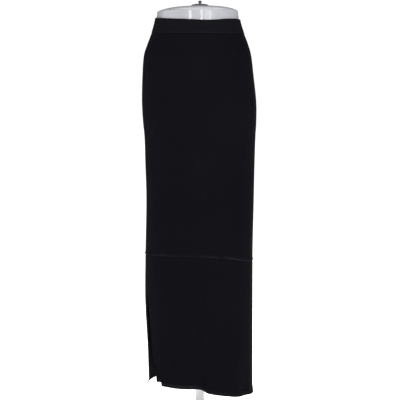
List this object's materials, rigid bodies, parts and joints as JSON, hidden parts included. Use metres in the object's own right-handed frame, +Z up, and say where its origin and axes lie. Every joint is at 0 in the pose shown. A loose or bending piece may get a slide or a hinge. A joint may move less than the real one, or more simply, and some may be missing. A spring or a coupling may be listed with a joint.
{
  "type": "maxi skirt on dress form",
  "caption": "Long narrow two-tier skirt with a plain waistband and a slit at one side of its hem, worn by a limbless hip form on a pole and round base.",
  "frame": {"origin": "centre of the base plate's underside, on the pole's axis", "axes": "+Z up along the pole, -Y out of the skirt's front, -X to the wearer's right, where the slit is"},
  "size_m": [0.3201, 0.28, 1.1516],
  "materials": {
    "cloth": "matte",
    "form": "gloss",
    "cap": "gloss",
    "knob": "gloss",
    "pole": "satin",
    "base": "satin"
  },
  "bodies": {
    "root": {"waistband_front": "cloth", "waistband_back": "cloth", "upper_front": "cloth", "upper_back": "cloth", "lower_front": "cloth", "lower_back": "cloth", "form_shell": "form", "neck_cap": "cap", "cap_knob": "knob", "support_pole": "pole", "base_plate": "base"}
  },
  "joints": []
}
